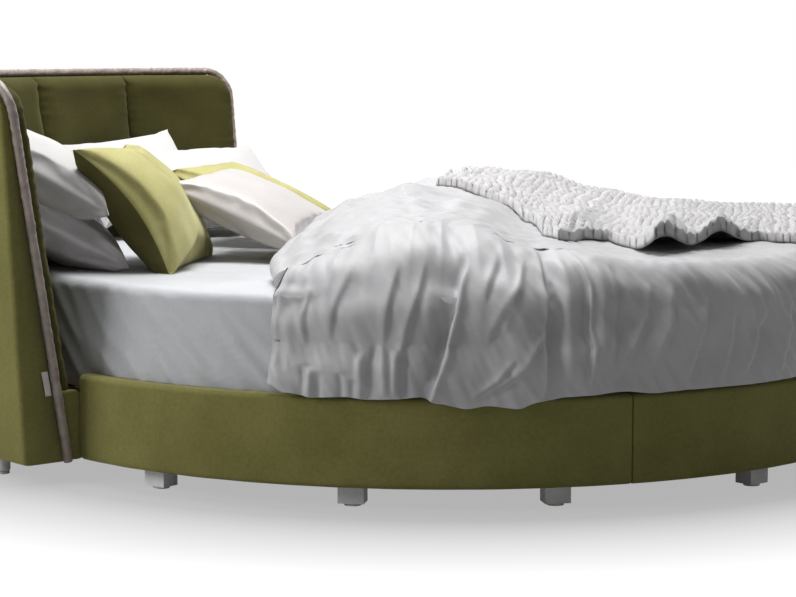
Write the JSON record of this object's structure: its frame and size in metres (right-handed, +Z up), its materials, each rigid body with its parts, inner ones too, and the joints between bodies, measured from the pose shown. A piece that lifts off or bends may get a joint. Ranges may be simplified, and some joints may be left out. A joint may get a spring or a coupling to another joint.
{
  "type": "round upholstered bed",
  "caption": "Round bed on a padded ring base with a curved, piped, padded headboard round the head end, slatted deck, round mattress, duvet, pillows, cushions and knitted throw.",
  "frame": {"origin": "on the floor under the middle of the round base, at the underside of the middle leg's pad", "axes": "+Z up, +Y towards the head end (middle of the headboard), +X towards the right-hand side seen from the foot end"},
  "size_m": [2.4138, 2.6076, 0.9843],
  "materials": {
    "velvet": "soft pile",
    "piping_satin": "satin",
    "plywood": "sanded",
    "beech": "lacquered",
    "steel": "zinc plated",
    "black_steel": "powder coated",
    "black_plastic": "matte",
    "ticking": "quilted",
    "sheet_cotton": "smooth",
    "white_cotton": "smooth",
    "grey_satin": "satin",
    "pale_satin": "satin",
    "green_velvet": "soft pile",
    "duvet_cotton": "satin",
    "knit_wool": "chunky knit"
  },
  "bodies": {
    "root": {"beam_shoes": "steel", "blank_tab": "piping_satin", "deck_frame_left": "plywood", "deck_frame_right": "plywood", "duvet": "duvet_cotton", "far_green_cushion": "green_velvet", "far_pillow_lower": "white_cotton", "far_pillow_upper": "white_cotton", "fitted_sheet": "sheet_cotton", "grey_cushion": "pale_satin", "head_bolts": "steel", "head_joint_plates": "steel", "headboard_apron": "velvet", "headboard_bottom_rail": "plywood", "headboard_feet": "black_steel", "headboard_glides": "black_plastic", "headboard_inner_skin": "plywood", "headboard_outer_skin": "plywood", "headboard_pad_1": "velvet", "headboard_pad_2": "velvet", "headboard_pad_3": "velvet", "headboard_pad_4": "velvet", "headboard_pad_5": "velvet", "headboard_pad_6": "velvet", "headboard_ribs": "plywood", "headboard_shell": "velvet", "headboard_top_rail": "plywood", "joint_bolts": "steel", "joint_plates": "steel", "knit_throw": "knit_wool", "ledger_brackets": "steel", "ledger_foot": "plywood", "ledger_head": "plywood", "ledger_left": "plywood", "ledger_right": "plywood", "mattress_border": "ticking", "mattress_bottom_panel": "ticking", "mattress_core": "ticking", "mattress_top_panel": "ticking", "middle_beam": "plywood", "middle_leg_pads": "black_plastic", "middle_legs": "black_steel", "near_green_cushion": "green_velvet", "near_pillow_lower": "grey_satin", "near_pillow_upper": "white_cotton", "piping": "piping_satin", "rail_core_foot": "plywood", "rail_core_left": "plywood", "rail_core_right": "plywood", "rail_cover_foot": "velvet", "rail_cover_left": "velvet", "rail_cover_right": "velvet", "rail_feet": "plywood", "rail_glides": "black_plastic", "slat_caps_left": "black_plastic", "slat_caps_right": "black_plastic", "slats_left": "beech", "slats_right": "beech"}
  },
  "joints": []
}
